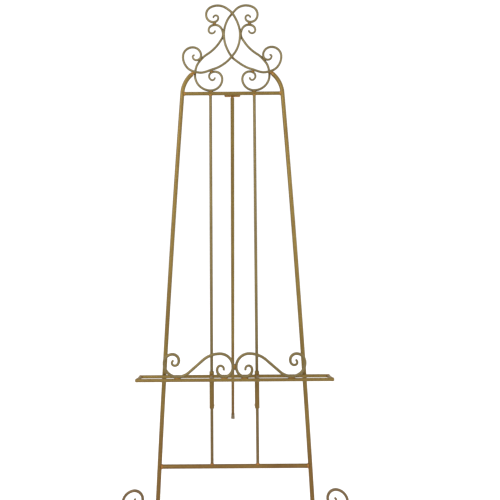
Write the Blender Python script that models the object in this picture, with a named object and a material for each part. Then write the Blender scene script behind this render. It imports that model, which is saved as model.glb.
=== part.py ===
"""Floor-standing display easel of bent steel tube and rod, with a sliding shelf and a folding rear leg.

Metres, +Z up. The front of the easel faces -Y and its mirror plane is X = 0. The origin is on the
floor, midway between the front feet and the rear foot. The front frame lies in one leaning plane:
its own axes are X across, +Y away from the front and +Z up the slope.
"""

import math

import bmesh
import bpy
from mathutils import Matrix, Vector

GAP = 0.0003

# Stance
LEAN = math.radians(13.0)
FRONT_FEET_Y = -0.356
REAR_FOOT_Y = 0.356

# Stock sizes
LEG_D = 0.014
TOP_BAR_D = 0.012
LOW_BAR_D = 0.014
GUIDE_D = 0.010
RAIL_D = 0.0105
STRUT_D = 0.008
SCROLL_D = 0.008
LOW_SCROLL_D = 0.0092
REAR_LEG_D = 0.013
TUBE_WALL = 0.0014

# Front legs: (radius, turn in degrees) pieces, or (length, 0) for a straight run
LEG_START = (-0.249, 0.005)
LEG_HEADING = 87.4
LEG_RUNS = [(52.0, -1.5), (0.034, 0), (0.095, -43)]

# Crossbars and guide rods, as heights up the slope and offsets from the middle
TOP_BAR_Z = 1.396
LOW_BAR_Z = 0.180
GUIDE_X = 0.073

# Crest scrolls, left-hand side, starting at the tip of the upper curl
TALL_START = (-0.062, 1.656)
TALL_HEADING = 95
TALL_RUNS = [
    (0.008, -174), (0.016, -120), (0.029, -133), (0.050, -67), (0.117, -100), (0.176, -32),
    (0.055, -101), (0.032, -98), (0.028, -94), (0.014, -164), (0.004, -129),
]
S_START = (-0.0565, 1.6125)
S_HEADING = -95
S_RUNS = [
    (0.011, -178), (0.021, -120), (0.035, -84), (0.141, -32), (0.078, 66), (0.052, 83),
    (0.039, 87), (0.027, 98), (0.016, 136), (0.008, 139),
]
# Where two crest rods cross or touch, each steps aside, one to the front and one to the back
CROSS_TOP = (0.0, 1.671)
CROSS_LOW = (0.0, 1.522)
CROSS_LEG = (-0.1245, 1.4690)
TOUCH_CURL = (-0.059, 1.637)
TOUCH_EYE = (-0.0285, 1.600)
TOUCH_INNER = (-0.1090, 1.5130)
TOUCH_BASE = (-0.070, 1.472)
CROSS_STEP = 0.5 * SCROLL_D + 2 * GAP
CROSS_REACH = 0.030

# Foot scrolls, left-hand side, starting at the tip of the inner curl
FOOT_SCROLL_START = (-0.3160, 0.0800)
FOOT_SCROLL_HEADING = -155
FOOT_SCROLL_RUNS = [(0.010, 145), (0.016, 85), (0.026, 115), (0.040, 85), (0.054, 100), (0.048, 51)]

# Shelf, as heights up the slope and depths from the guide rods
SHELF_Z = 0.466
SHELF_WIDTH = 0.610
BACK_RAIL_Y = -0.0136
FRONT_RAIL_Y = -0.0900
FRONT_RAIL_LIFT = 0.0016
SLEEVE_D = 0.015
SLEEVE_BORE = 0.0106
SLEEVE_TOP = 0.480
SLEEVE_BOTTOM = 0.362

# Lip scrolls, left-hand side, as heights above the front rail
LIP_START = (-0.1865, 0.0602)
LIP_HEADING = -165
LIP_RUNS = [
    (0.0079, 140), (0.011, 84), (0.0193, 116), (0.0254, 86), (0.0408, 99), (0.055, 41), (0.0556, 0),
    (0.080, -41), (0.040, -90), (0.034, -30), (0.0254, -60), (0.0235, -50), (0.0175, -40),
    (0.020, -20), (0.010, -160), (0.014, -20),
]

# Thumb screws behind the sleeves
SCREW_Z = 0.3685
SCREW_D = 0.006
SCREW_REACH = 0.0082
SCREW_HEAD_D = 0.0165
SCREW_HEAD_T = 0.005
HEAD_CLEAR = 0.0012
NUT_ACROSS = 0.010
NUT_T = 0.005

# Rear hinge, as places in the leaning frame, and distances down the rear leg from the pin
HINGE_Z = 1.392
HINGE_Y = 0.0128
KNUCKLE_D = 0.008
PIN_D = 0.0036
PIN_BORE = 0.0042
PIN_HEAD_D = 0.0058
PIN_HEAD_T = 0.0012
HINGE_WIDTH = 0.050
EYE_WIDTH = 0.014
LEAF_WIDTH = 0.055
LEAF_TOP = 1.402
LEAF_DROP = 0.0025
LEAF_T = 0.0030
LEAF_CORNER = 0.003
REAR_TUBE_TOP = 0.0065
PLUG_TOP = 0.0033
PLUG_END = 0.028

# Rubber caps
CAP_WALL = 0.0013
CAP_LENGTH = 0.028
CAP_BASE = 0.005

# Scroll rods are drawn out thinner over the last stretch to a free tip
TIP_LENGTH = 0.060
TIP_SHARE = 0.72

# How finely bent rods are drawn, and how far a cutter runs past an open end
CURL_STEP = math.radians(15)
LONGEST_CHORD = 0.012
CUT_PAST = 0.002


def clear_scene():
    for old in list(bpy.data.objects):
        bpy.data.objects.remove(old, do_unlink=True)


def new_collection(name):
    made = bpy.data.collections.new(name)
    bpy.context.scene.collection.children.link(made)
    return made


def new_material(name, colour, roughness, metallic):
    made = bpy.data.materials.new(name)
    made.use_nodes = True
    shader = made.node_tree.nodes["Principled BSDF"]
    shader.inputs["Base Color"].default_value = (*colour, 1.0)
    shader.inputs["Roughness"].default_value = roughness
    shader.inputs["Metallic"].default_value = metallic
    return made


def trace(start, heading, runs, step=CURL_STEP, longest=LONGEST_CHORD):
    """Points of a chain of tangent arcs and straight runs in the X-Z plane; a positive turn is leftward."""
    x, z = start
    angle = math.radians(heading)
    points = [(x, z)]
    for size, turn in runs:
        if turn == 0:
            x += size * math.cos(angle)
            z += size * math.sin(angle)
            points.append((x, z))
            continue
        swept = abs(math.radians(turn))
        count = max(2, math.ceil(swept / step), math.ceil(swept * size / longest))
        bend = math.radians(turn) / count
        chord = 2 * size * math.sin(abs(bend) / 2)
        for _ in range(count):
            x += chord * math.cos(angle + bend / 2)
            z += chord * math.sin(angle + bend / 2)
            angle += bend
            points.append((x, z))
    return points


def step_aside(points, crossings):
    """Gives each point its depth: a smooth step off the plane around each (x, z, side) crossing."""
    deep = []
    for x, z in points:
        depth = 0.0
        for cross_x, cross_z, side in crossings:
            away = math.hypot(x - cross_x, z - cross_z)
            if away < CROSS_REACH:
                depth += side * CROSS_STEP * math.cos(0.5 * math.pi * away / CROSS_REACH) ** 2
        deep.append((x, depth, z))
    return deep


def flat(points):
    return [(x, 0.0, z) for x, z in points]


def mirrored(points):
    return [(-x, y, z) for x, y, z in points]


def place(obj, collection, parent, material):
    for old in list(obj.users_collection):
        old.objects.unlink(obj)
    collection.objects.link(obj)
    obj.parent = parent
    if material is not None:
        obj.data.materials.clear()
        obj.data.materials.append(material)
    return obj


def smooth(obj):
    obj.data.shade_smooth()
    obj.data.set_sharp_from_angle(angle=math.radians(40))


def tip_shares(points, tips):
    """Share of the full diameter at each point: down to TIP_SHARE at a free start or end."""
    along = [0.0]
    for before, after in zip(points[:-1], points[1:]):
        along.append(along[-1] + (Vector(after) - Vector(before)).length)
    shares = []
    for distance in along:
        from_tip = TIP_LENGTH
        if tips[0]:
            from_tip = min(from_tip, distance)
        if tips[1]:
            from_tip = min(from_tip, along[-1] - distance)
        shares.append(TIP_SHARE + (1 - TIP_SHARE) * from_tip / TIP_LENGTH)
    return shares


def tube(name, points, diameter, collection, parent, material, resolution=2, tips=(False, False)):
    """A round bar along the points, made a closed mesh."""
    curve = bpy.data.curves.new(name, "CURVE")
    curve.dimensions = "3D"
    curve.bevel_depth = diameter / 2
    curve.bevel_resolution = resolution
    curve.use_fill_caps = True
    spline = curve.splines.new("POLY")
    spline.points.add(len(points) - 1)
    for point, place_at, share in zip(spline.points, points, tip_shares(points, tips)):
        point.co = (*place_at, 1.0)
        point.radius = share
    guide = bpy.data.objects.new(name + "_path", curve)
    bpy.context.scene.collection.objects.link(guide)
    graph = bpy.context.evaluated_depsgraph_get()
    mesh = bpy.data.meshes.new_from_object(guide.evaluated_get(graph))
    bpy.data.objects.remove(guide, do_unlink=True)
    work = bmesh.new()
    work.from_mesh(mesh)
    bmesh.ops.remove_doubles(work, verts=work.verts, dist=1e-5)
    bmesh.ops.recalc_face_normals(work, faces=work.faces)
    work.to_mesh(mesh)
    work.free()
    mesh.name = name
    obj = bpy.data.objects.new(name, mesh)
    place(obj, collection, parent, material)
    smooth(obj)
    return obj


def cylinder(name, start, end, diameter, collection, parent, material, sides=20):
    """A round bar from start to end."""
    start, end = Vector(start), Vector(end)
    bpy.ops.mesh.primitive_cylinder_add(vertices=sides, radius=diameter / 2, depth=(end - start).length)
    obj = bpy.context.object
    obj.name = name
    obj.data.name = name
    turn = Vector((0, 0, 1)).rotation_difference(end - start)
    obj.data.transform(turn.to_matrix().to_4x4())
    obj.location = (start + end) / 2
    place(obj, collection, parent, material)
    smooth(obj)
    return obj


def block(name, centre, size, collection, parent, material):
    bpy.ops.mesh.primitive_cube_add(size=1)
    obj = bpy.context.object
    obj.name = name
    obj.data.name = name
    obj.data.transform(Matrix.Diagonal((*size, 1)))
    obj.location = centre
    return place(obj, collection, parent, material)


def plate(name, outline, near, thickness, collection, parent, material):
    """A flat plate: an outline in X and Z, given its thickness along +Y from near."""
    work = bmesh.new()
    front = [work.verts.new((x, near, z)) for x, z in outline]
    back = [work.verts.new((x, near + thickness, z)) for x, z in outline]
    work.faces.new(front)
    work.faces.new(list(reversed(back)))
    count = len(outline)
    for i in range(count):
        j = (i + 1) % count
        work.faces.new((front[j], front[i], back[i], back[j]))
    bmesh.ops.recalc_face_normals(work, faces=work.faces)
    mesh = bpy.data.meshes.new(name)
    work.to_mesh(mesh)
    work.free()
    obj = bpy.data.objects.new(name, mesh)
    return place(obj, collection, parent, material)


def boolean(obj, other, operation="DIFFERENCE"):
    modifier = obj.modifiers.new(operation.lower(), "BOOLEAN")
    modifier.operation = operation
    modifier.object = other
    other.hide_render = True
    other.display_type = "WIRE"
    return obj


def leg_line():
    """The left leg's centre line, from the floor to its bent-in top end."""
    return flat(trace(LEG_START, LEG_HEADING, LEG_RUNS, math.radians(7), 0.2))


def build_legs(parts, cutters, frame, gold):
    """Front legs, hollow and open at both ends."""
    left = leg_line()
    for side, points in (("left", left), ("right", mirrored(left))):
        leg = tube("leg_tube_" + side, points, LEG_D, parts, frame, gold, 3)
        first, second = Vector(points[0]), Vector(points[1])
        last, before = Vector(points[-1]), Vector(points[-2])
        longer = list(points)
        longer[0] = first + (first - second).normalized() * CUT_PAST
        longer[-1] = last + (last - before).normalized() * CUT_PAST
        bore = tube("leg_bore_" + side, longer, LEG_D - 2 * TUBE_WALL, cutters, frame, None, 2)
        boolean(leg, bore)


def build_bars(parts, cutters, frame, gold):
    """Two crossbars, fish-mouthed to the legs, and the two guide rods that the shelf slides on."""
    left = leg_line()
    saddles = []
    for side, points in (("left", left), ("right", mirrored(left))):
        saddles.append(tube("leg_saddle_" + side, points, LEG_D + 2 * GAP, cutters, frame, None, 3))
    for name, height, diameter in (
        ("top_crossbar", TOP_BAR_Z, TOP_BAR_D),
        ("low_crossbar", LOW_BAR_Z, LOW_BAR_D),
    ):
        below = [p for p in left if p[2] <= height][-1]
        above = left[left.index(below) + 1]
        share = (height - below[2]) / (above[2] - below[2])
        reach = abs(below[0] + share * (above[0] - below[0]))
        bar = cylinder(name, (-reach, 0, height), (reach, 0, height), diameter, parts, frame, gold, 16)
        for saddle in saddles:
            boolean(bar, saddle)

    low = LOW_BAR_Z + LOW_BAR_D / 2 + GAP
    high = TOP_BAR_Z - TOP_BAR_D / 2 - GAP
    for side, x in (("left", -GUIDE_X), ("right", GUIDE_X)):
        cylinder("guide_rod_" + side, (x, 0, low), (x, 0, high), GUIDE_D, parts, frame, gold, 16)


def build_scrolls(parts, frame, gold):
    """The four crest scrolls, woven past each other, and the two foot scrolls."""
    tall = trace(TALL_START, TALL_HEADING, TALL_RUNS)
    curl = trace(S_START, S_HEADING, S_RUNS)
    touches = [CROSS_LEG, TOUCH_CURL, TOUCH_INNER, TOUCH_BASE]
    in_front = [(*spot, -1) for spot in touches] + [(-TOUCH_EYE[0], TOUCH_EYE[1], -1)]
    tall_left = step_aside(tall, in_front + [(*CROSS_TOP, -1), (*CROSS_LOW, -1)])
    tall_right = mirrored(step_aside(tall, in_front + [(*CROSS_TOP, 1), (*CROSS_LOW, 1)]))
    curl_left = step_aside(curl, [(*spot, 1) for spot in touches + [TOUCH_EYE]])
    foot = flat(trace(FOOT_SCROLL_START, FOOT_SCROLL_HEADING, FOOT_SCROLL_RUNS))
    for name, points in (
        ("crest_tall_scroll_left", tall_left),
        ("crest_tall_scroll_right", tall_right),
        ("crest_s_scroll_left", curl_left),
        ("crest_s_scroll_right", mirrored(curl_left)),
    ):
        tube(name, points, SCROLL_D, parts, frame, gold, tips=(True, True))
    for name, points in (("foot_scroll_left", foot), ("foot_scroll_right", mirrored(foot))):
        tube(name, points, LOW_SCROLL_D, parts, frame, gold, tips=(True, False))


def build_caps(parts, cutters, frame, hinge, rear_foot, rubber):
    """Rubber caps on the three legs, each cut level with the floor."""
    rear_direction = (hinge - rear_foot).normalized()
    ends = [("foot_cap_rear", rear_foot + rear_direction * CAP_BASE, rear_direction, REAR_LEG_D)]
    left = leg_line()
    for side, points in (("left", left), ("right", mirrored(left))):
        foot = frame.matrix_world @ Vector(points[0])
        ahead = frame.matrix_world @ Vector(points[1])
        ends.append(("foot_cap_" + side, foot, (ahead - foot).normalized(), LEG_D))
    floor_cut = block("floor_cut", (0, 0, -0.05), (1.0, 1.2, 0.1), cutters, None, None)
    for name, foot, direction, diameter in ends:
        top = foot + direction * (CAP_LENGTH - CAP_BASE)
        outer = diameter + 2 * CAP_WALL
        cap = cylinder(name, foot - direction * 0.02, top, outer, parts, None, rubber, 24)
        bore = cylinder(
            name + "_bore", foot - direction * GAP, top + direction * 0.05, diameter + 2 * GAP,
            cutters, None, None, 24,
        )
        boolean(cap, floor_cut)
        boolean(cap, bore)


def build_hinge(parts, cutters, frame, gold, steel):
    """A leaf behind the top crossbar with two knuckles, and the riveted pin through them."""
    leaf_low = HINGE_Z - LEAF_DROP
    half_leaf = LEAF_WIDTH / 2
    outline = [
        (-HINGE_WIDTH / 2, leaf_low), (HINGE_WIDTH / 2, leaf_low), (half_leaf, leaf_low + LEAF_CORNER),
        (half_leaf, LEAF_TOP), (-half_leaf, LEAF_TOP), (-half_leaf, leaf_low + LEAF_CORNER),
    ]
    leaf = plate("hinge_leaf", outline, TOP_BAR_D / 2 + GAP, LEAF_T, parts, frame, gold)
    near = EYE_WIDTH / 2 + GAP
    far = HINGE_WIDTH / 2
    for side, sign in (("left", -1), ("right", 1)):
        knuckle = cylinder(
            "knuckle_" + side, (sign * near, HINGE_Y, HINGE_Z), (sign * far, HINGE_Y, HINGE_Z),
            KNUCKLE_D, cutters, frame, None,
        )
        boolean(leaf, knuckle, "UNION")
    eye_room = cylinder(
        "eye_room", (-near, HINGE_Y, HINGE_Z), (near, HINGE_Y, HINGE_Z), KNUCKLE_D + 4 * GAP,
        cutters, frame, None,
    )
    boolean(leaf, eye_room)
    past = far + 0.01
    pin_bore = cylinder(
        "pin_bore", (-past, HINGE_Y, HINGE_Z), (past, HINGE_Y, HINGE_Z), PIN_BORE, cutters, frame, None, 16
    )
    boolean(leaf, pin_bore)

    reach = far + GAP
    pin = cylinder(
        "hinge_pin", (-reach, HINGE_Y, HINGE_Z), (reach, HINGE_Y, HINGE_Z), PIN_D, parts, frame, steel, 16
    )
    for side, sign in (("left", -1), ("right", 1)):
        top = sign * (reach + PIN_HEAD_T)
        head = cylinder(
            "pin_head_" + side, (sign * reach, HINGE_Y, HINGE_Z), (top, HINGE_Y, HINGE_Z), PIN_HEAD_D,
            cutters, frame, None, 16,
        )
        boolean(pin, head, "UNION")
    return pin_bore


def build_rear_leg(parts, cutters, hinge, rear_foot, pin_bore, gold):
    """The rear leg's tube and the plugged-in eye that turns on the hinge pin."""
    rear = bpy.data.objects.new("rear_leg_pivot", None)
    rear.location = hinge
    parts.objects.link(rear)
    bpy.context.view_layer.update()
    down = rear_foot - hinge
    length = down.length
    down.normalize()
    bore_d = REAR_LEG_D - 2 * TUBE_WALL
    tube_end = down * (length - CAP_BASE)
    leg = cylinder("rear_leg_tube", down * REAR_TUBE_TOP, tube_end, REAR_LEG_D, parts, rear, gold)
    bore = cylinder(
        "rear_leg_bore", down * 0.001, down * (length + 0.002), bore_d, cutters, rear, None, 16
    )
    boolean(leg, bore)
    half = EYE_WIDTH / 2
    eye = cylinder("rear_leg_eye", (-half, 0, 0), (half, 0, 0), KNUCKLE_D, parts, rear, gold)
    plug = cylinder(
        "eye_plug", down * PLUG_TOP, down * PLUG_END, bore_d - 2 * GAP, cutters, rear, None, 16
    )
    boolean(eye, plug, "UNION")
    boolean(eye, pin_bore)


def build_shelf(parts, shelf, gold):
    """Two long rails joined by two ends and two struts, with the lip scrolls on the front rail."""
    half_width = SHELF_WIDTH / 2
    for name, y, z in (
        ("shelf_front_rail", FRONT_RAIL_Y, FRONT_RAIL_LIFT),
        ("shelf_back_rail", BACK_RAIL_Y, 0),
    ):
        cylinder(name, (-half_width, y, z), (half_width, y, z), RAIL_D, parts, shelf, gold, 16)
    slope = FRONT_RAIL_LIFT / (BACK_RAIL_Y - FRONT_RAIL_Y)
    from_y = FRONT_RAIL_Y + RAIL_D / 2 + GAP
    to_y = BACK_RAIL_Y - RAIL_D / 2 - GAP
    from_z = slope * (BACK_RAIL_Y - from_y)
    to_z = slope * (BACK_RAIL_Y - to_y)
    for side, sign in (("left", -1), ("right", 1)):
        for name, x, diameter in (
            ("shelf_end_" + side, sign * (half_width - RAIL_D / 2), RAIL_D),
            ("shelf_strut_" + side, sign * GUIDE_X, STRUT_D),
        ):
            cylinder(name, (x, from_y, from_z), (x, to_y, to_z), diameter, parts, shelf, gold, 16)

    traced = trace(LIP_START, LIP_HEADING, LIP_RUNS)
    lip = [(x, FRONT_RAIL_Y, z + FRONT_RAIL_LIFT) for x, z in traced]
    tube("lip_scroll_left", lip, LOW_SCROLL_D, parts, shelf, gold, tips=(True, True))
    tube("lip_scroll_right", mirrored(lip), LOW_SCROLL_D, parts, shelf, gold, tips=(True, True))


def build_clamps(parts, cutters, shelf, gold, brass):
    """The two sleeves on the guide rods, each with a nut and a thumb screw behind it."""
    low = SLEEVE_BOTTOM - SHELF_Z
    high = SLEEVE_TOP - SHELF_Z
    screw_z = SCREW_Z - SHELF_Z
    nut_y = SLEEVE_D / 2 + GAP
    head_y = nut_y + NUT_T + HEAD_CLEAR
    nut_corners = NUT_ACROSS / math.cos(math.pi / 6)
    for side, x in (("left", -GUIDE_X), ("right", GUIDE_X)):
        sleeve = cylinder("sleeve_" + side, (x, 0, low), (x, 0, high), SLEEVE_D, parts, shelf, gold, 24)
        bore = cylinder(
            "sleeve_bore_" + side, (x, 0, low - 0.01), (x, 0, high + 0.01), SLEEVE_BORE,
            cutters, shelf, None, 24,
        )
        boolean(sleeve, bore)
        hole = cylinder(
            "screw_hole_" + side, (x, 0.001, screw_z), (x, 0.02, screw_z), SCREW_D + 2 * GAP,
            cutters, shelf, None, 16,
        )
        boolean(sleeve, hole)
        nut = cylinder(
            "weld_nut_" + side, (x, nut_y, screw_z), (x, nut_y + NUT_T, screw_z), nut_corners,
            parts, shelf, gold, 6,
        )
        boolean(nut, hole)
        screw = cylinder(
            "thumb_screw_" + side, (x, head_y - SCREW_REACH, screw_z), (x, head_y + 0.004, screw_z),
            SCREW_D, parts, shelf, brass, 16,
        )
        head = cylinder(
            "thumb_head_" + side, (x, head_y, screw_z), (x, head_y + SCREW_HEAD_T, screw_z),
            SCREW_HEAD_D, cutters, shelf, None, 24,
        )
        boolean(screw, head, "UNION")


def main():
    clear_scene()
    parts = new_collection("display_easel")
    cutters = new_collection("cutters")

    gold = new_material("antique_gold_paint", (0.235, 0.141, 0.044), 0.42, 0.75)
    rubber = new_material("brown_rubber", (0.13, 0.09, 0.045), 0.8, 0.0)
    brass = new_material("brass_screw", (0.42, 0.27, 0.09), 0.35, 1.0)
    steel = new_material("steel_pin", (0.35, 0.33, 0.30), 0.4, 1.0)

    frame = bpy.data.objects.new("leaning_frame", None)
    frame.location = (0, FRONT_FEET_Y, 0)
    frame.rotation_euler = (-LEAN, 0, 0)
    parts.objects.link(frame)
    shelf = bpy.data.objects.new("shelf_carrier", None)
    shelf.parent = frame
    shelf.location = (0, 0, SHELF_Z)
    parts.objects.link(shelf)
    bpy.context.view_layer.update()
    hinge = frame.matrix_world @ Vector((0, HINGE_Y, HINGE_Z))
    rear_foot = Vector((0, REAR_FOOT_Y, 0))

    build_legs(parts, cutters, frame, gold)
    build_bars(parts, cutters, frame, gold)
    build_scrolls(parts, frame, gold)
    build_caps(parts, cutters, frame, hinge, rear_foot, rubber)
    pin_bore = build_hinge(parts, cutters, frame, gold, steel)
    build_rear_leg(parts, cutters, hinge, rear_foot, pin_bore, gold)
    build_shelf(parts, shelf, gold)
    build_clamps(parts, cutters, shelf, gold, brass)


main()
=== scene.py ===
"""Studio scene of the display easel: fine surfaces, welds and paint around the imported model.

Shapes are worked out in the leaning frame's own axes (X across, Y away from the front, Z up the
slope) and carried into the model's axes by LEANING, so every piece sits on its CAD solid.
"""

import math

import bmesh
import bpy
from mathutils import Matrix, Vector, noise


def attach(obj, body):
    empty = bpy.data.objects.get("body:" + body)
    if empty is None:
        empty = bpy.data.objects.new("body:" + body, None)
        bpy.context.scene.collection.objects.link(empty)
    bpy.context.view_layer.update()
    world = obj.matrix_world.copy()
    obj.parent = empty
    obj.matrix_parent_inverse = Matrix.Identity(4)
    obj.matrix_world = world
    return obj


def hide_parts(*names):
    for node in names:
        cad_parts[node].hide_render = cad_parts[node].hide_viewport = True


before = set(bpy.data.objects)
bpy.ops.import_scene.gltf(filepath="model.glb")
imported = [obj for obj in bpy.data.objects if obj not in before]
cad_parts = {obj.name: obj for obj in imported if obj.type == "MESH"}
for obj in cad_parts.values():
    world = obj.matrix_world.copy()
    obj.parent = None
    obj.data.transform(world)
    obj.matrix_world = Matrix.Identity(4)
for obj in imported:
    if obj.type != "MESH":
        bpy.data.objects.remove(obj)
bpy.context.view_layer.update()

# From here down to CAP_BASE, the sizes of the CAD model, in metres and degrees. First stance and stock
LEAN = math.radians(13.0)
FRONT_FEET_Y = -0.356
REAR_FOOT = Vector((0, 0.356, 0))
LEG_D = 0.014
TOP_BAR_D = 0.012
LOW_BAR_D = 0.014
GUIDE_D = 0.010
RAIL_D = 0.0105
STRUT_D = 0.008
SCROLL_D = 0.008
LOW_SCROLL_D = 0.0092
REAR_LEG_D = 0.013
TUBE_WALL = 0.0014
GAP = 0.0003

# Outlines in (X, Z): a start, a heading, and runs of (radius, turn) arcs and (length, 0) straights
LEG_START = (-0.249, 0.005)
LEG_HEADING = 87.4
LEG_RUNS = [(52.0, -1.5), (0.034, 0), (0.095, -43)]

TOP_BAR_Z = 1.396
LOW_BAR_Z = 0.180
GUIDE_X = 0.073

# Crest, with the places where its rods cross or touch
TALL_START = (-0.062, 1.656)
TALL_HEADING = 95
TALL_RUNS = [
    (0.008, -174), (0.016, -120), (0.029, -133), (0.050, -67), (0.117, -100), (0.176, -32),
    (0.055, -101), (0.032, -98), (0.028, -94), (0.014, -164), (0.004, -129),
]
S_START = (-0.0565, 1.6125)
S_HEADING = -95
S_RUNS = [
    (0.011, -178), (0.021, -120), (0.035, -84), (0.141, -32), (0.078, 66), (0.052, 83),
    (0.039, 87), (0.027, 98), (0.016, 136), (0.008, 139),
]
CROSS_TOP = (0.0, 1.671)
CROSS_LOW = (0.0, 1.522)
CROSS_LEG = (-0.1245, 1.4690)
TOUCH_CURL = (-0.059, 1.637)
TOUCH_EYE = (-0.0285, 1.600)
TOUCH_INNER = (-0.1090, 1.5130)
TOUCH_BASE = (-0.070, 1.472)
CROSS_STEP = 0.5 * SCROLL_D + 2 * GAP
CROSS_REACH = 0.030

FOOT_SCROLL_START = (-0.3160, 0.0800)
FOOT_SCROLL_HEADING = -155
FOOT_SCROLL_RUNS = [(0.010, 145), (0.016, 85), (0.026, 115), (0.040, 85), (0.054, 100), (0.048, 51)]

# Shelf
SHELF_Z = 0.466
SHELF_WIDTH = 0.610
BACK_RAIL_Y = -0.0136
FRONT_RAIL_Y = -0.0900
FRONT_RAIL_LIFT = 0.0016
SLEEVE_D = 0.015
SLEEVE_BORE = 0.0106
SLEEVE_TOP = 0.480
SLEEVE_BOTTOM = 0.362

LIP_START = (-0.1865, 0.0602)
LIP_HEADING = -165
LIP_RUNS = [
    (0.0079, 140), (0.011, 84), (0.0193, 116), (0.0254, 86), (0.0408, 99), (0.055, 41), (0.0556, 0),
    (0.080, -41), (0.040, -90), (0.034, -30), (0.0254, -60), (0.0235, -50), (0.0175, -40),
    (0.020, -20), (0.010, -160), (0.014, -20),
]

# Thumb screws and their nuts
SCREW_Z = 0.3685
SCREW_D = 0.006
SCREW_REACH = 0.0082
SCREW_HEAD_D = 0.0165
SCREW_HEAD_T = 0.005
HEAD_CLEAR = 0.0012
NUT_ACROSS = 0.010
NUT_T = 0.005

# Hinge, rear leg and caps
HINGE_Z = 1.392
HINGE_Y = 0.0128
KNUCKLE_D = 0.008
PIN_D = 0.0036
PIN_HEAD_D = 0.0058
HINGE_WIDTH = 0.050
EYE_WIDTH = 0.014
LEAF_WIDTH = 0.055
LEAF_TOP = 1.402
LEAF_DROP = 0.0025
LEAF_T = 0.0030
LEAF_CORNER = 0.003
REAR_TUBE_TOP = 0.0065
PLUG_TOP = 0.0033
CAP_WALL = 0.0013
CAP_TOP = 0.023
CAP_BASE = 0.005

# Finer shapes, which are only here: nut, screw, hinge, sleeve and caps
NUT_CHAMFER = 0.0006
THREAD_PITCH = 0.001
THREAD_HEIGHT = 0.00028
SCREW_POINT = 0.0009
KNURLS = 30
KNURL_DEPTH = 0.0005
KNUCKLE_BORE = 0.004
KNUCKLE_EDGE = 0.0006
LEAF_RELIEF = 0.0009
LEAF_BEVEL = 0.0004
PLUG_SHOWN = 0.012
SLEEVE_EDGE = 0.0007
SLEEVE_CHAMFER = 0.0008
CAP_GROOVES = (0.0080, 0.0150)
CAP_CUT = -0.006

# A scroll's tip: the length that is drawn thinner, and its share of the diameter at the very end
TIP_LENGTH = 0.060
TIP_SHARE = 0.72

# Height of the dome at each end of a rod, as a share of its radius
FLAT_ENDS = (0, 0)
SOFT_ENDS = (0.35, 0.35)
ROUND_ENDS = (0.9, 0.9)

# Share of a rod's radius, and of a weld bead's sizes, that goes up and down along its surface
TUBE_ROUGH = 0.006
BEAD_LUMPS = 0.12
BEAD_RIPPLE = 0.05

# How far an end, or a weld, goes into the piece it is welded to
SINK = 0.0005
LEG_SINK = 0.001
WELD_SINK = 0.0004

# Places of weld beads
CREST_BASE_X = 0.0726
CREST_BASE_LIFT = 0.0004
CREST_LEG_WELD = (0.1290, -0.0008, 1.4672)
FOOT_WELD = (0.2550, 0, 0.0414)
LIP_ON_RAIL = (0.1750, 0.0310)
LIP_MEET_Z = 0.0410

# Reach along the bar and flare beyond its side, for the weld round each kind of bar end
BAR_COLLAR = (0.0040, 0.0016)
GUIDE_COLLAR = (0.0034, 0.0014)
RAIL_COLLAR = (0.0030, 0.0012)
PLUG_COLLAR = (0.0022, 0.0008)
NUT_COLLAR = (0.0014, 0.0012)

# Half sizes of each kind of weld bead: along, sideways and outward
CREST_BASE_BEAD = (0.0070, 0.0036, 0.0024)
LEG_TOP_BEAD = (0.0085, 0.0068, 0.0072)
CREST_LEG_BEAD = (0.0090, 0.0058, 0.0056)
TOUCH_BEAD = (0.0058, 0.0046, 0.0040)
EYE_BEAD = (0.0095, 0.0042, 0.0032)
FOOT_BEAD = (0.0068, 0.0046, 0.0046)
CROSS_BEAD = (0.0054, 0.0042, 0.0046)
LEAF_BEAD = (0.0033, 0.0016, 0.0016)
LEAF_BEADS = 11
LEAF_BEAD_STEP = 0.0048
SLEEVE_BEAD = (0.0064, 0.0026, 0.0024)
LIP_BEAD = (0.0110, 0.0036, 0.0025)
LIP_MEET_BEAD = (0.0090, 0.0034, 0.0030)

# Studio, with the camera's turns in degrees: down from level, and round its own line of sight
FLOOR_HALF = 12.0
WORLD_STRENGTH = 1.12
CAMERA_PLACE = (-0.0192, -1.8900, 1.1362)
CAMERA_DOWN = 9.394
CAMERA_ROLL = -0.359
CAMERA_SENSOR = 36.0
CAMERA_LENS = 38.53
CAMERA_SHIFT = 0.0448

LEANING = Matrix.Translation((0, FRONT_FEET_Y, 0)) @ Matrix.Rotation(-LEAN, 4, "X")
HINGE = LEANING @ Vector((0, HINGE_Y, HINGE_Z))

# Outlines are drawn on the left, -X side: 1 keeps them there and -1 mirrors them to the right
SIDES = (("left", 1), ("right", -1))


# Paths


def trace(start, heading, runs, step=5.0, longest=0.008):
    """Points of a chain of tangent arcs and straight runs in the X-Z plane; a positive turn is leftward."""
    x, z = start
    angle = math.radians(heading)
    points = [(x, z)]
    for size, turn in runs:
        swept = abs(math.radians(turn))
        length = size if turn == 0 else size * swept
        count = max(2, math.ceil(swept / math.radians(step)), math.ceil(length / longest))
        bend = math.radians(turn) / count
        chord = length / count if turn == 0 else 2 * size * math.sin(abs(bend) / 2)
        for _ in range(count):
            x += chord * math.cos(angle + bend / 2)
            z += chord * math.sin(angle + bend / 2)
            angle += bend
            points.append((x, z))
    return points


def step_aside(points, crossings):
    """Gives each point its depth: a smooth step off the plane around each (x, z, side) crossing."""
    deep = []
    for x, z in points:
        depth = 0.0
        for cross_x, cross_z, side in crossings:
            away = math.hypot(x - cross_x, z - cross_z)
            if away < CROSS_REACH:
                depth += side * CROSS_STEP * math.cos(0.5 * math.pi * away / CROSS_REACH) ** 2
        deep.append(Vector((x, depth, z)))
    return deep


def at_depth(points, depth=0.0, lift=0.0):
    return [Vector((x, depth, z + lift)) for x, z in points]


def mirrored(points):
    return [Vector((-p.x, p.y, p.z)) for p in points]


def on_side(points, sign):
    return points if sign > 0 else mirrored(points)


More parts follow.
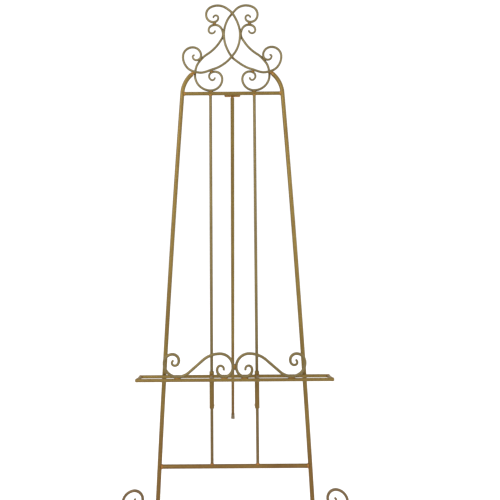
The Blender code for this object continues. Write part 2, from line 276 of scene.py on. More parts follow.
def straight(start, end, longest=0.02):
    start, end = Vector(start), Vector(end)
    count = max(2, math.ceil((end - start).length / longest))
    return [start.lerp(end, i / count) for i in range(count + 1)]


def lengths_along(points):
    along = [0.0]
    for before, after in zip(points[:-1], points[1:]):
        along.append(along[-1] + (after - before).length)
    return along


# Mesh building


def add_ring(work, centre, across, up, radius, sides):
    made = []
    for i in range(sides):
        angle = 2 * math.pi * i / sides
        made.append(work.verts.new(centre + (across * math.cos(angle) + up * math.sin(angle)) * radius))
    return made


def join_rings(work, first, second):
    count = len(first)
    for i in range(count):
        j = (i + 1) % count
        work.faces.new((first[i], first[j], second[j], second[i]))


def skin(work, rings, closed=False):
    """Joins rings in order. The last then meets the first when closed, or else both ends are filled."""
    for first, second in zip(rings[:-1], rings[1:]):
        join_rings(work, first, second)
    if closed:
        join_rings(work, rings[-1], rings[0])
    else:
        work.faces.new(list(reversed(rings[0])))
        work.faces.new(rings[-1])


def rounded_ends(points, radius, ends):
    """(point, share of the radius) pairs; ends gives each end's dome height as a share of the radius."""
    pairs = [(p, 1.0) for p in points]
    dome = [(0.0, 1.0), (0.38, 0.92), (0.71, 0.71), (0.92, 0.38)]
    if ends[1]:
        direction = (points[-1] - points[-2]).normalized()
        base = points[-1] - direction * radius * ends[1]
        pairs = pairs[:-1] + [(base + direction * radius * ends[1] * a, b) for a, b in dome]
    if ends[0]:
        direction = (points[0] - points[1]).normalized()
        base = points[0] - direction * radius * ends[0]
        pairs = [(base + direction * radius * ends[0] * a, b) for a, b in reversed(dome)] + pairs[1:]
    return pairs


def add_rod(work, points, diameter, sides, ends, tips=(False, False), seed=0.0, rough=0.012):
    """A round, slightly uneven rod along the points, drawn thinner towards each end that is a tip."""
    radius = diameter / 2
    pairs = rounded_ends(points, radius, ends)
    spots = [p for p, _ in pairs]
    along = lengths_along(spots)
    total = along[-1]
    tangent = (spots[1] - spots[0]).normalized()
    across = tangent.orthogonal().normalized()
    rings = []
    for i, (spot, share) in enumerate(pairs):
        ahead = spots[min(i + 1, len(spots) - 1)] - spots[max(i - 1, 0)]
        ahead.normalize()
        across = (across - ahead * across.dot(ahead)).normalized()
        size = radius * share
        from_start = along[i] if tips[0] else TIP_LENGTH
        from_end = total - along[i] if tips[1] else TIP_LENGTH
        from_tip = min(from_start, from_end, TIP_LENGTH)
        size *= TIP_SHARE + (1 - TIP_SHARE) * from_tip / TIP_LENGTH
        size *= 1.0 - rough * (0.5 + 0.5 * noise.noise(spot * 60 + Vector((seed, 0, 0))))
        rings.append(add_ring(work, spot, across, ahead.cross(across), size, sides))
    skin(work, rings)


def turned_axes(axis):
    axis = Vector(axis).normalized()
    across = axis.orthogonal().normalized()
    return axis, across, axis.cross(across)


def add_turned(work, profile, origin, axis, sides=32, closed=False):
    """A turned shape: (radius, height) pairs up the axis. A closed profile makes a ring."""
    axis, across, up = turned_axes(axis)
    origin = Vector(origin)
    rings = [add_ring(work, origin + axis * h, across, up, r, sides) for r, h in profile]
    skin(work, rings, closed)


def add_collar(work, end, axis, radius, sizes, seed):
    """The weld round a bar's end: widest at the end, where axis points into the piece it joins."""
    axis, across, up = turned_axes(axis)
    end = Vector(end)
    reach, flare = sizes
    steps = [(-1.0, 0.0), (-0.7, 0.16), (-0.4, 0.42), (-0.1, 0.8), (0.25, 1.0), (0.6, 0.9)]
    sides = 28
    rings = []
    for height, spread in steps:
        ring = []
        for i in range(sides):
            angle = 2 * math.pi * i / sides
            outward = across * math.cos(angle) + up * math.sin(angle)
            lump = 0.0006 * spread * noise.noise(end * 300 + outward * 2.2 + Vector((seed, height, 0)))
            spot = end + axis * height * reach + outward * (radius * 0.985 + flare * spread + lump)
            ring.append(work.verts.new(spot))
        rings.append(ring)
    skin(work, rings)


def add_bead(work, centre, along, half_sizes, seed):
    """A lumpy weld bead: an egg of three half sizes, along, sideways (in depth) and outward."""
    along = Vector(along).normalized()
    side = Vector((0, 1, 0))
    side = (side - along * side.dot(along)).normalized()
    third = along.cross(side)
    made = bmesh.ops.create_icosphere(work, subdivisions=3, radius=1.0)["verts"]
    centre = Vector(centre)
    long, deep, high = half_sizes
    for vert in made:
        unit = vert.co.copy()
        lump = 1.0 + BEAD_LUMPS * noise.noise(unit * 1.7 + Vector((seed, 3.1, 0)))
        lump += BEAD_RIPPLE * math.sin(unit.x * 9.0 + seed)
        spot = along * unit.x * long + side * unit.y * deep + third * unit.z * high
        vert.co = centre + spot * lump


def finish_piece(name, work, body, material, replaced=(), placed=LEANING, angle=40):
    """Makes the object: carried into the model's axes, shaded, painted and set to ride."""
    bmesh.ops.recalc_face_normals(work, faces=work.faces)
    work.transform(placed)
    mesh = bpy.data.meshes.new(name)
    work.to_mesh(mesh)
    work.free()
    obj = bpy.data.objects.new(name, mesh)
    bpy.context.scene.collection.objects.link(obj)
    mesh.shade_smooth()
    mesh.set_sharp_from_angle(angle=math.radians(angle))
    mesh.materials.append(material)
    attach(obj, body)
    if replaced:
        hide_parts(*replaced)
    return obj


# Materials


class Nodes:
    """Short calls for building a material's node tree."""

    def __init__(self, name):
        self.material = bpy.data.materials.new(name)
        self.material.use_nodes = True
        self.tree = self.material.node_tree
        self.shader = self.tree.nodes["Principled BSDF"]
        self.place = self.add("ShaderNodeTexCoord").outputs["Object"]

    def add(self, kind, **settings):
        made = self.tree.nodes.new(kind)
        for key, value in settings.items():
            setattr(made, key, value)
        return made

    def join(self, output, socket):
        self.tree.links.new(output, socket)

    def noise(self, scale, detail, roughness, distortion=0.0):
        made = self.add("ShaderNodeTexNoise")
        made.inputs["Scale"].default_value = scale
        made.inputs["Detail"].default_value = detail
        made.inputs["Roughness"].default_value = roughness
        made.inputs["Distortion"].default_value = distortion
        self.join(self.place, made.inputs["Vector"])
        return made.outputs["Fac"]

    def ramp(self, value, stops):
        made = self.add("ShaderNodeValToRGB")
        elements = made.color_ramp.elements
        while len(elements) < len(stops):
            elements.new(0.5)
        for element, (position, colour) in zip(elements, stops):
            element.position = position
            element.color = (*colour, 1.0) if len(colour) == 3 else (colour[0],) * 3 + (1.0,)
        self.join(value, made.inputs["Fac"])
        return made.outputs["Color"]

    def mix(self, factor, first, second, blend="MIX"):
        made = self.add("ShaderNodeMix", data_type="RGBA", blend_type=blend)
        for socket, value in ((made.inputs[0], factor), (made.inputs[6], first), (made.inputs[7], second)):
            if isinstance(value, bpy.types.NodeSocket):
                self.join(value, socket)
            elif isinstance(value, (int, float)):
                socket.default_value = value
            else:
                socket.default_value = (*value, 1.0)
        return made.outputs[2]

    def spread(self, value, low, high):
        made = self.add("ShaderNodeMapRange")
        made.inputs["To Min"].default_value = low
        made.inputs["To Max"].default_value = high
        self.join(value, made.inputs["Value"])
        return made.outputs["Result"]

    def bump(self, height, strength, distance, under=None):
        made = self.add("ShaderNodeBump")
        made.inputs["Strength"].default_value = strength
        made.inputs["Distance"].default_value = distance
        self.join(height, made.inputs["Height"])
        if under is not None:
            self.join(under, made.inputs["Normal"])
        return made.outputs["Normal"]

    def set(self, socket, value):
        if isinstance(value, bpy.types.NodeSocket):
            self.join(value, self.shader.inputs[socket])
        else:
            self.shader.inputs[socket].default_value = value


# Heights where the painted shade low down is full and where it ends, and what that painted shade multiplies
# the colour by
PAINTED_LOW_SHADE_FULL = 0.15
PAINTED_LOW_SHADE_NONE = 0.50
PAINTED_LOW_SHADE_TINT = (0.88, 0.73, 0.78)

# Reach of the painted shade, in the patina colour, where pieces meet, and how metallic the paint is
CREVICE_SHADE_REACH = 0.012
PAINT_METALLIC = 0.85


def gold_paint(name, bright, deep, patina, crevice_shade=0.7):
    """Antique gold paint: a brushed gold coat over bronze, with painted shade where things meet and painted
    shade that makes it darker and browner low down.
    """
    made = Nodes(name)
    broad = made.noise(7.0, 4.0, 0.55, distortion=0.4)
    fine = made.noise(160.0, 5.0, 0.6)
    flecks = made.noise(1100.0, 2.0, 0.5)
    coat = made.mix(made.ramp(broad, [(0.30, (0.0,)), (0.70, (1.0,))]), deep, bright)
    coat = made.mix(made.ramp(fine, [(0.45, (0.0,)), (0.80, (0.30,))]), coat, patina)
    # Painted shade: ambient occlusion mixes the patina colour in where pieces meet and shade falls
    shade = made.add("ShaderNodeAmbientOcclusion", samples=8)
    shade.inputs["Distance"].default_value = CREVICE_SHADE_REACH
    crevice_shade_mask = made.ramp(shade.outputs["AO"], [(0.25, (crevice_shade,)), (0.72, (0.0,))])
    coat = made.mix(crevice_shade_mask, coat, patina)
    # Painted shade: the colour is multiplied darker and browner towards the bottom, for the dimmer light
    # low down
    height = made.add("ShaderNodeSeparateXYZ")
    made.join(made.place, height.inputs["Vector"])
    painted_low_shade = made.ramp(height.outputs["Z"], [(PAINTED_LOW_SHADE_FULL, (1.0,)), (PAINTED_LOW_SHADE_NONE, (0.0,))])
    coat = made.mix(painted_low_shade, coat, PAINTED_LOW_SHADE_TINT, "MULTIPLY")
    made.set("Base Color", coat)
    made.set("Metallic", PAINT_METALLIC)
    made.set("Roughness", made.spread(fine, 0.42, 0.60))
    grain = made.bump(fine, strength=0.15, distance=0.0004)
    made.set("Normal", made.bump(flecks, strength=0.15, distance=0.0001, under=grain))
    return made.material


def rubber(name):
    made = Nodes(name)
    grain = made.noise(700.0, 4.0, 0.6)
    dust = made.noise(45.0, 4.0, 0.6)
    made.set("Base Color", made.ramp(dust, [(0.3, (0.125, 0.084, 0.038)), (0.8, (0.180, 0.128, 0.064))]))
    made.set("Roughness", made.spread(dust, 0.68, 0.88))
    made.set("Normal", made.bump(grain, strength=0.3, distance=0.0002))
    return made.material


def bare_metal(name, bright, dull, rough):
    made = Nodes(name)
    stain = made.noise(160.0, 5.0, 0.6)
    scratch = made.noise(1400.0, 3.0, 0.6)
    made.set("Base Color", made.mix(made.ramp(stain, [(0.35, (0.0,)), (0.7, (1.0,))]), bright, dull))
    made.set("Metallic", 1.0)
    made.set("Roughness", made.spread(stain, rough, rough + 0.2))
    made.set("Normal", made.bump(scratch, strength=0.15, distance=0.0001))
    return made.material


def floor_material():
    made = Nodes("studio_floor")
    tone = made.noise(1.2, 3.0, 0.5)
    made.set("Base Color", made.ramp(tone, [(0.2, (0.93, 0.93, 0.93)), (0.8, (0.95, 0.95, 0.95))]))
    made.set("Roughness", 0.85)
    return made.material


# Each gold: its bright coat, its deep coat and its patina, the same paint on stock of different finish. The
# weld gold is the brighter orange of the welds, and on the hinge parts it is also painted light against the
# shade there
GOLD = gold_paint("antique_gold", (0.222, 0.155, 0.040), (0.176, 0.110, 0.030), (0.070, 0.040, 0.013))
ROD_GOLD = gold_paint(
    "antique_gold_rod", (0.192, 0.146, 0.058), (0.150, 0.108, 0.042), (0.062, 0.044, 0.020)
)
SCROLL_GOLD = gold_paint(
    "antique_gold_scroll", (0.206, 0.166, 0.074), (0.160, 0.122, 0.054), (0.066, 0.049, 0.025)
)
WELD_GOLD_AND_PAINTED_LIGHT = gold_paint(
    "antique_gold_weld_and_painted_light", (0.350, 0.180, 0.042), (0.260, 0.134, 0.032), (0.075, 0.040, 0.013), crevice_shade=0.1
)
RUBBER = rubber("bronze_brown_rubber")
BRASS = bare_metal("antique_brass", (0.48, 0.32, 0.12), (0.20, 0.13, 0.05), 0.32)
STEEL = bare_metal("tarnished_steel", (0.42, 0.40, 0.37), (0.22, 0.20, 0.18), 0.36)


# Front frame


def leg_x(leg, height):
    below = [p for p in leg if p.z <= height][-1]
    above = leg[leg.index(below) + 1]
    return below.lerp(above, (height - below.z) / (above.z - below.z)).x


LEG = at_depth(trace(LEG_START, LEG_HEADING, LEG_RUNS, step=3.0, longest=0.02))


def build_frame():
    for side, sign in SIDES:
        work = bmesh.new()
        add_rod(work, on_side(LEG, sign), LEG_D, 28, (0.0, 0.35), seed=sign, rough=TUBE_ROUGH)
        finish_piece("leg_" + side, work, "front_frame", GOLD, ["leg_tube_" + side])

    for name, height, diameter in (
        ("top_crossbar", TOP_BAR_Z, TOP_BAR_D),
        ("low_crossbar", LOW_BAR_Z, LOW_BAR_D),
    ):
        reach = abs(leg_x(LEG, height)) - LEG_D / 2 + LEG_SINK
        points = straight((-reach, 0, height), (reach, 0, height))
        work = bmesh.new()
        add_rod(work, points, diameter, 24, FLAT_ENDS, rough=TUBE_ROUGH)
        finish_piece(name + "_bar", work, "front_frame", GOLD, [name])

    low = LOW_BAR_Z + LOW_BAR_D / 2 - SINK
    high = TOP_BAR_Z - TOP_BAR_D / 2 + SINK
    for side, sign in SIDES:
        x = -sign * GUIDE_X
        points = straight((x, 0, low), (x, 0, high), longest=0.03)
        work = bmesh.new()
        add_rod(work, points, GUIDE_D, 20, FLAT_ENDS, seed=x, rough=0.004)
        finish_piece("guide_" + side, work, "front_frame", ROD_GOLD, ["guide_rod_" + side])


def build_frame_scrolls():
    """Crest and foot scrolls. Where two rods cross or touch, one steps to the front and one to the back."""
    tall = trace(TALL_START, TALL_HEADING, TALL_RUNS)
    curl = trace(S_START, S_HEADING, S_RUNS)
    touches = [CROSS_LEG, TOUCH_CURL, TOUCH_INNER, TOUCH_BASE]
    in_front = [(*spot, -1) for spot in touches] + [(-TOUCH_EYE[0], TOUCH_EYE[1], -1)]
    tall_left = step_aside(tall, in_front + [(*CROSS_TOP, -1), (*CROSS_LOW, -1)])
    tall_right = mirrored(step_aside(tall, in_front + [(*CROSS_TOP, 1), (*CROSS_LOW, 1)]))
    curl_left = step_aside(curl, [(*spot, 1) for spot in touches + [TOUCH_EYE]])
    foot = at_depth(trace(FOOT_SCROLL_START, FOOT_SCROLL_HEADING, FOOT_SCROLL_RUNS))
    both, first = (True, True), (True, False)
    for name, points, diameter, tips, node in (
        ("tall_scroll_left", tall_left, SCROLL_D, both, "crest_tall_scroll_left"),
        ("tall_scroll_right", tall_right, SCROLL_D, both, "crest_tall_scroll_right"),
        ("s_scroll_left", curl_left, SCROLL_D, both, "crest_s_scroll_left"),
        ("s_scroll_right", mirrored(curl_left), SCROLL_D, both, "crest_s_scroll_right"),
        ("floor_scroll_left", foot, LOW_SCROLL_D, first, "foot_scroll_left"),
        ("floor_scroll_right", mirrored(foot), LOW_SCROLL_D, first, "foot_scroll_right"),
    ):
        work = bmesh.new()
        add_rod(work, points, diameter, 16, ROUND_ENDS, tips, seed=points[0].x * 100)
        finish_piece(name, work, "front_frame", SCROLL_GOLD, [node])


def build_frame_welds():
    work = bmesh.new()
    top_under = TOP_BAR_Z - TOP_BAR_D / 2
    low_over = LOW_BAR_Z + LOW_BAR_D / 2
    for sign in (-1, 1):
        for height, diameter in ((TOP_BAR_Z, TOP_BAR_D), (LOW_BAR_Z, LOW_BAR_D)):
            x = sign * (abs(leg_x(LEG, height)) - LEG_D / 2)
            add_collar(work, (x, 0, height), (sign, 0, 0), diameter / 2, BAR_COLLAR, height + sign)
        for height, into in ((low_over, -1), (top_under, 1)):
            spot = (sign * GUIDE_X, 0, height)
            add_collar(work, spot, (0, 0, into), GUIDE_D / 2, GUIDE_COLLAR, height)

        base = Vector((sign * CREST_BASE_X, 0, TOP_BAR_Z + TOP_BAR_D / 2 + CREST_BASE_LIFT))
        add_bead(work, base, (1, 0, 0), CREST_BASE_BEAD, sign)
        end = LEG[-1]
        add_bead(work, (-sign * end.x, 0, end.z), (sign * -0.7, 0, 0.7), LEG_TOP_BEAD, 2 + sign)
        x, y, z = CREST_LEG_WELD
        add_bead(work, (sign * x, y, z), (1, 0, 0.25), CREST_LEG_BEAD, 4 + sign)
        for x, z in (TOUCH_CURL, TOUCH_INNER, TOUCH_BASE):
            add_bead(work, (sign * x, 0, z), (1, 0, 0.2), TOUCH_BEAD, x * 300)
        add_bead(work, (sign * TOUCH_EYE[0], 0, TOUCH_EYE[1]), (0, 0, 1), EYE_BEAD, 7)
        x, y, z = FOOT_WELD
        add_bead(work, (sign * x, y, z), (0.5, 0, sign * 0.7), FOOT_BEAD, 9 + sign)
    for x, z in (CROSS_TOP, CROSS_LOW):
        add_bead(work, (x, 0, z), (0, 0, 1), CROSS_BEAD, z)

    for height in (LEAF_TOP - 0.0002, top_under + 0.0008):
        for i in range(LEAF_BEADS):
            x = (i - LEAF_BEADS // 2) * LEAF_BEAD_STEP
            spot = (x, TOP_BAR_D / 2 - WELD_SINK, height)
            add_bead(work, spot, (1, 0, 0), LEAF_BEAD, i + height)
    finish_piece("frame_welds", work, "front_frame", WELD_GOLD_AND_PAINTED_LIGHT)


def knuckle_profile(start, end):
    """The bore and the eased outside of a knuckle, from one end of it to the other."""
    outer, inner, edge = KNUCKLE_D / 2, KNUCKLE_BORE / 2, KNUCKLE_EDGE
    return [
        (inner, start), (outer - edge, start), (outer, start + edge), (outer, end - edge),
        (outer - edge, end), (inner, end),
    ]


def build_hinge():
    """The leaf welded behind the top bar, relieved for the rear leg's eye, its two knuckles and the pin."""
    low = HINGE_Z - LEAF_DROP
    near = TOP_BAR_D / 2 + GAP
    far = near + LEAF_T
    relief = far - LEAF_RELIEF
    room = EYE_WIDTH / 2 + GAP
    work = bmesh.new()
    rings = []
    for z, half in (
        (low, HINGE_WIDTH / 2),
        (low + LEAF_CORNER, LEAF_WIDTH / 2),
        (LEAF_TOP, LEAF_WIDTH / 2),
    ):
        plan = [
            (-half, near), (half, near), (half, far), (room, far), (room, relief), (-room, relief),
            (-room, far), (-half, far),
        ]
        rings.append([work.verts.new((x, y, z)) for x, y in plan])
    skin(work, rings)
    bmesh.ops.bevel(work, geom=work.edges[:], offset=LEAF_BEVEL, segments=2, profile=0.5, affect="EDGES")
    # Painted light: the leaf takes the brighter weld gold to offset the shade under the bar
    finish_piece("hinge_leaf_plate", work, "front_frame", WELD_GOLD_AND_PAINTED_LIGHT, ["hinge_leaf"])

    work = bmesh.new()
    span = (HINGE_WIDTH - EYE_WIDTH) / 2 - GAP
    for sign in (-1, 1):
        start = (sign * (EYE_WIDTH / 2 + GAP), HINGE_Y, HINGE_Z)
        add_turned(work, knuckle_profile(0, span), start, (sign, 0, 0), closed=True)
    # Painted light: the knuckles take the brighter weld gold to offset the shade under the bar
    finish_piece("hinge_knuckles", work, "front_frame", WELD_GOLD_AND_PAINTED_LIGHT)

    work = bmesh.new()
    reach = HINGE_WIDTH / 2 + 0.0002
    rivet = [
        (PIN_D / 2, reach), (PIN_HEAD_D / 2, reach), (PIN_HEAD_D / 2, reach + 0.0007),
        (0.0020, reach + 0.0013), (0.0008, reach + 0.0015),
    ]
    profile = [(radius, -along) for radius, along in reversed(rivet)] + rivet
    add_turned(work, profile, (0, HINGE_Y, HINGE_Z), (1, 0, 0), 28)
    finish_piece("hinge_pin_riveted", work, "front_frame", STEEL, ["hinge_pin"])


def cap_profile(radius):
    """Outer and inner walls of a rubber cap, from below the floor up to its rim and down inside."""
    outer = radius + CAP_WALL
    groove = outer - 0.4 * CAP_WALL
    soft = outer - 0.1 * CAP_WALL
    profile = [(outer * 0.5, CAP_CUT), (groove, CAP_CUT), (soft, 0.0015), (outer, 0.0030)]
    for low in CAP_GROOVES:
        profile += [(soft, low), (groove, low + 0.0007), (groove, low + 0.0015), (soft, low + 0.0022)]
    profile += [(soft, CAP_TOP + 0.0015), (outer - 0.25 * CAP_WALL, CAP_TOP + 0.0028)]
    profile += [(outer - 0.55 * CAP_WALL, CAP_TOP + 0.0034), (radius + 0.2 * CAP_WALL, CAP_TOP + 0.0030)]
    profile += [(radius - 0.0002, CAP_TOP + 0.0018), (radius - 0.0006, 0.010)]
    return profile


def add_cap(name, foot, direction, diameter, body, node):
    """A rubber cap on a leg, its underside pressed level with the floor."""
    work = bmesh.new()
    base = foot - direction * (foot.z / direction.z)
    add_turned(work, cap_profile(diameter / 2), base, direction, 40)
    for vert in work.verts:
        vert.co.z = max(vert.co.z, 0.0)
    bmesh.ops.remove_doubles(work, verts=work.verts, dist=1e-6)
    finish_piece(name, work, body, RUBBER, [node], Matrix.Identity(4), 30)


def build_caps():
    for side, sign in SIDES:
        points = on_side(LEG, sign)
        foot = LEANING @ points[0]
        direction = (LEANING @ points[2] - foot).normalized()
        add_cap("rubber_foot_" + side, foot, direction, LEG_D, "front_frame", "foot_cap_" + side)
    up = (HINGE - REAR_FOOT).normalized()
    add_cap("rubber_foot_rear", REAR_FOOT + up * CAP_BASE, up, REAR_LEG_D, "rear_leg", "foot_cap_rear")


# Rear leg


def build_rear_leg():
    """The leg's pieces, made straight in the model's axes."""
    upright = Matrix.Identity(4)
    down = (REAR_FOOT - HINGE).normalized()
    length = (REAR_FOOT - HINGE).length
    tube_top = HINGE + down * REAR_TUBE_TOP
    work = bmesh.new()
    points = straight(tube_top, HINGE + down * (length - CAP_BASE), longest=0.04)
    add_rod(work, points, REAR_LEG_D, 24, (0.15, 0), seed=5, rough=TUBE_ROUGH)
    finish_piece("rear_leg", work, "rear_leg", GOLD, ["rear_leg_tube"], upright)

    work = bmesh.new()
    add_turned(work, knuckle_profile(-EYE_WIDTH / 2, EYE_WIDTH / 2), HINGE, (1, 0, 0), closed=True)
    plug = REAR_LEG_D - 2 * TUBE_WALL - 2 * GAP
    points = straight(HINGE + down * PLUG_TOP, HINGE + down * PLUG_SHOWN)
    add_rod(work, points, plug, 24, FLAT_ENDS, rough=0)
    # The eye takes the weld gold: the orange of its weld, brightened as painted light against the shade
    # under the bar
    finish_piece("rear_leg_hinge_eye", work, "rear_leg", WELD_GOLD_AND_PAINTED_LIGHT, ["rear_leg_eye"], upright)

    work = bmesh.new()
    add_collar(work, tube_top, down, plug / 2, PLUG_COLLAR, 3.0)
    finish_piece("rear_leg_weld", work, "rear_leg", WELD_GOLD_AND_PAINTED_LIGHT, placed=upright)


# Shelf


def on_shelf(x, y, z):
    return (x, y, SHELF_Z + z)


def lift_at(y):
    """How far the shelf has risen at this depth, from its back rail to its front one."""
    return FRONT_RAIL_LIFT * (BACK_RAIL_Y - y) / (BACK_RAIL_Y - FRONT_RAIL_Y)


def build_shelf():
    half = SHELF_WIDTH / 2
    for name, depth in (("front", FRONT_RAIL_Y), ("back", BACK_RAIL_Y)):
        lift = lift_at(depth)
        points = straight(on_shelf(-half, depth, lift), on_shelf(half, depth, lift))
        work = bmesh.new()
        add_rod(work, points, RAIL_D, 22, SOFT_ENDS, seed=depth * 50, rough=TUBE_ROUGH)
        finish_piece(name + "_rail", work, "shelf", GOLD, ["shelf_%s_rail" % name])

    near = FRONT_RAIL_Y + RAIL_D / 2 - SINK
    far = BACK_RAIL_Y - RAIL_D / 2 + SINK
    for side, sign in SIDES:
        for kind, x, diameter in (("end", half - RAIL_D / 2, RAIL_D), ("strut", GUIDE_X, STRUT_D)):
            start = on_shelf(-sign * x, near, lift_at(near))
            end = on_shelf(-sign * x, far, lift_at(far))
            node = "shelf_%s_%s" % (kind, side)
            work = bmesh.new()
            add_rod(work, straight(start, end), diameter, 20, FLAT_ENDS, seed=x, rough=TUBE_ROUGH)
            finish_piece("%s_bar_%s" % (kind, side), work, "shelf", GOLD, [node])

        work = bmesh.new()
        add_turned(work, sleeve_profile(), (-sign * GUIDE_X, 0, SLEEVE_BOTTOM), (0, 0, 1), 40, closed=True)
        finish_piece("guide_sleeve_" + side, work, "shelf", GOLD, ["sleeve_" + side])

        work = bmesh.new()
        add_nut(work, (-sign * GUIDE_X, SLEEVE_D / 2 - WELD_SINK, SCREW_Z))
        name = "welded_nut_" + side
        finish_piece(name, work, "shelf", GOLD, ["weld_nut_" + side], angle=25)

    lip = at_depth(trace(LIP_START, LIP_HEADING, LIP_RUNS), FRONT_RAIL_Y, SHELF_Z + FRONT_RAIL_LIFT)
    for side, sign in SIDES:
        points = on_side(lip, sign)
        work = bmesh.new()
        add_rod(work, points, LOW_SCROLL_D, 16, ROUND_ENDS, (True, True), seed=sign * 3)
        name = "shelf_lip_scroll_" + side
        finish_piece(name, work, "shelf", ROD_GOLD, ["lip_scroll_" + side])


def sleeve_profile():
    """The sleeve's wall, with eased outer edges and a small chamfer at each end of the bore."""
    outer, inner, edge = SLEEVE_D / 2, SLEEVE_BORE / 2, SLEEVE_EDGE
    height = SLEEVE_TOP - SLEEVE_BOTTOM
    return [
        (inner + 0.0004, 0), (outer - edge, 0), (outer - 0.0002, edge * 0.4), (outer, edge),
        (outer, height - edge), (outer - 0.0002, height - edge * 0.4), (outer - edge, height),
        (inner + 0.0004, height), (inner, height - SLEEVE_CHAMFER), (inner, SLEEVE_CHAMFER),
    ]


def add_nut(work, base):
    """A hexagonal nut along +Y with chamfered corners."""
    base = Vector(base)
    corner = NUT_ACROSS / 2 / math.cos(math.pi / 6)
    inner = SCREW_D / 2 + GAP
    sides = 48
    rings = []
    for depth, corner_cut, is_inner in (
        (0, 0, True), (0, 0, False), (NUT_T * 0.85, 0, False),
        (NUT_T, NUT_CHAMFER, False), (NUT_T, 0, True),
    ):
        ring = []
        for i in range(sides):
            angle = 2 * math.pi * i / sides
            hexagon = NUT_ACROSS / 2 / math.cos((angle % (math.pi / 3)) - math.pi / 6)
            limit = min(hexagon, corner - corner_cut) if corner_cut else hexagon
            radius = inner if is_inner else limit
            outward = Vector((radius * math.cos(angle), depth, radius * math.sin(angle)))
            ring.append(work.verts.new(base + outward))
        rings.append(ring)
    skin(work, rings, closed=True)


def build_thumb_screws():
    head_at = SLEEVE_D / 2 + GAP + NUT_T + HEAD_CLEAR
    for side, sign in SIDES:
        x = -sign * GUIDE_X
        work = bmesh.new()
        add_threaded_shank(work, x, head_at - SCREW_REACH, head_at)
        add_knurled_head(work, x, head_at)
        node = "thumb_screw_" + side
        finish_piece("clamp_screw_" + side, work, node, BRASS, [node], angle=35)


def add_threaded_shank(work, x, start, end):
    """A shank along +Y with a thread on it, pointed where it starts."""
    sides = 24
    count = 48
    rings = []
    for j in range(count + 1):
        depth = start + (end - start) * j / count
        ring = []
        for i in range(sides):
            angle = 2 * math.pi * i / sides
            phase = (depth / THREAD_PITCH + i / sides) % 1.0
            thread = THREAD_HEIGHT * (1 - abs(2 * phase - 1) * 2)
            point_in = SCREW_POINT * max(0.0, 1 - 6 * j / count)
            radius = SCREW_D / 2 - THREAD_HEIGHT + thread - point_in
            spot = (x + radius * math.cos(angle), depth, SCREW_Z + radius * math.sin(angle))
            ring.append(work.verts.new(spot))
        rings.append(ring)
    skin(work, rings)


def add_knurled_head(work, x, near):
    """A round head with a knurled rim, a dished back face and a small boss."""
    sides = 120
    radius = SCREW_HEAD_D / 2
    top = SCREW_HEAD_T
    rows = [
        (0.25, 0.0, 0), (0.90, 0.0, 0), (0.97, 0.0005, 0), (1.0, 0.0009, 1), (1.0, top - 0.0009, 1),
        (0.97, top - 0.0004, 0), (0.88, top, 0), (0.80, top, 0), (0.74, top - 0.0007, 0),
        (0.42, top - 0.0007, 0), (0.38, top - 0.0002, 0), (0.30, top, 0),
    ]
    rings = []
    for share, depth, knurled in rows:
        ring = []
        for i in range(sides):
            angle = 2 * math.pi * i / sides
            notch = KNURL_DEPTH * knurled * (0.5 - 0.5 * math.cos(angle * KNURLS))
            size = radius * share - notch
            spot = (x + size * math.cos(angle), near + depth, SCREW_Z + size * math.sin(angle))
            ring.append(work.verts.new(spot))
        rings.append(ring)
    skin(work, rings)


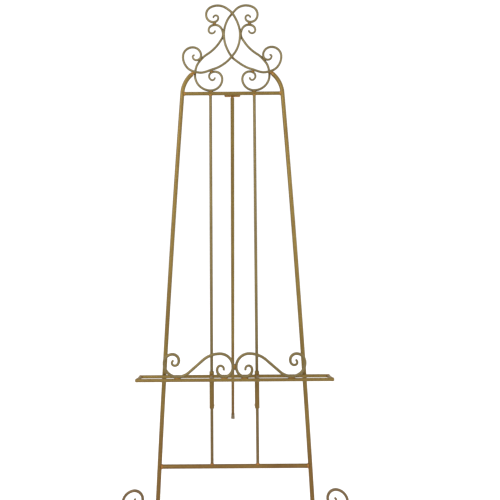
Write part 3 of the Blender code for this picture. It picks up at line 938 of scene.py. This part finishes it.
def build_shelf_welds():
    work = bmesh.new()
    half = SHELF_WIDTH / 2
    near, far = FRONT_RAIL_Y + RAIL_D / 2, BACK_RAIL_Y - RAIL_D / 2
    rail_top = RAIL_D / 2 + FRONT_RAIL_LIFT + 0.0003
    for sign in (-1, 1):
        for x, diameter in ((half - RAIL_D / 2, RAIL_D), (GUIDE_X, STRUT_D)):
            for y, into in ((near, -1), (far, 1)):
                end = on_shelf(sign * x, y, lift_at(y))
                add_collar(work, end, (0, into, 0), diameter / 2, RAIL_COLLAR, x + sign * into)
        for up in (-1, 1):
            spot = on_shelf(sign * GUIDE_X, BACK_RAIL_Y + RAIL_D / 2 - 0.0002, up * 0.0030)
            add_bead(work, spot, (1, 0, 0), SLEEVE_BEAD, sign + up * 3)
        for x in LIP_ON_RAIL:
            spot = on_shelf(sign * x, FRONT_RAIL_Y, rail_top)
            add_bead(work, spot, (1, 0, 0), LIP_BEAD, x * 90 + sign)
        nut = (sign * GUIDE_X, SLEEVE_D / 2 - WELD_SINK, SCREW_Z)
        add_collar(work, nut, (0, -1, 0), NUT_ACROSS / 2, NUT_COLLAR, 8 + sign)
    add_bead(work, on_shelf(0, FRONT_RAIL_Y, LIP_MEET_Z), (0, 0, 1), LIP_MEET_BEAD, 11)
    finish_piece("shelf_welds", work, "shelf", WELD_GOLD_AND_PAINTED_LIGHT)


# Studio


def build_stage():
    work = bmesh.new()
    bmesh.ops.create_grid(work, x_segments=8, y_segments=8, size=FLOOR_HALF)
    mesh = bpy.data.meshes.new("studio_floor")
    work.to_mesh(mesh)
    work.free()
    floor = bpy.data.objects.new("studio_floor", mesh)
    bpy.context.scene.collection.objects.link(floor)
    mesh.materials.append(floor_material())

    world = bpy.data.worlds.new("studio_world")
    bpy.context.scene.world = world
    world.use_nodes = True
    background = world.node_tree.nodes["Background"]
    background.inputs["Color"].default_value = (1.0, 1.0, 1.0, 1.0)
    background.inputs["Strength"].default_value = WORLD_STRENGTH

    for name, place, aim, size, power in (
        ("key_light", (-1.9, -2.4, 3.0), (0, 0, 0.9), 1.6, 60.0),
        ("fill_light", (2.4, -2.0, 2.0), (0, 0, 0.8), 2.0, 25.0),
    ):
        light = bpy.data.lights.new(name, "AREA")
        light.size = size
        light.energy = power
        lamp = bpy.data.objects.new(name, light)
        lamp.location = place
        lamp.rotation_euler = (Vector(aim) - Vector(place)).to_track_quat("-Z", "Y").to_euler()
        bpy.context.scene.collection.objects.link(lamp)


def build_camera():
    data = bpy.data.cameras.new("camera")
    data.sensor_width = CAMERA_SENSOR
    data.lens = CAMERA_LENS
    data.shift_x = CAMERA_SHIFT
    data.clip_start = 0.05
    camera = bpy.data.objects.new("camera", data)
    camera.location = CAMERA_PLACE
    tilt = Matrix.Rotation(math.radians(90 - CAMERA_DOWN), 4, "X")
    roll = Matrix.Rotation(math.radians(CAMERA_ROLL), 4, "Z")
    camera.rotation_euler = (tilt @ roll).to_euler()
    bpy.context.scene.collection.objects.link(camera)
    bpy.context.scene.camera = camera
    bpy.context.scene.view_settings.view_transform = "Standard"


build_frame()
build_frame_scrolls()
build_frame_welds()
build_hinge()
build_caps()
build_rear_leg()
build_shelf()
build_shelf_welds()
build_thumb_screws()
build_stage()
build_camera()
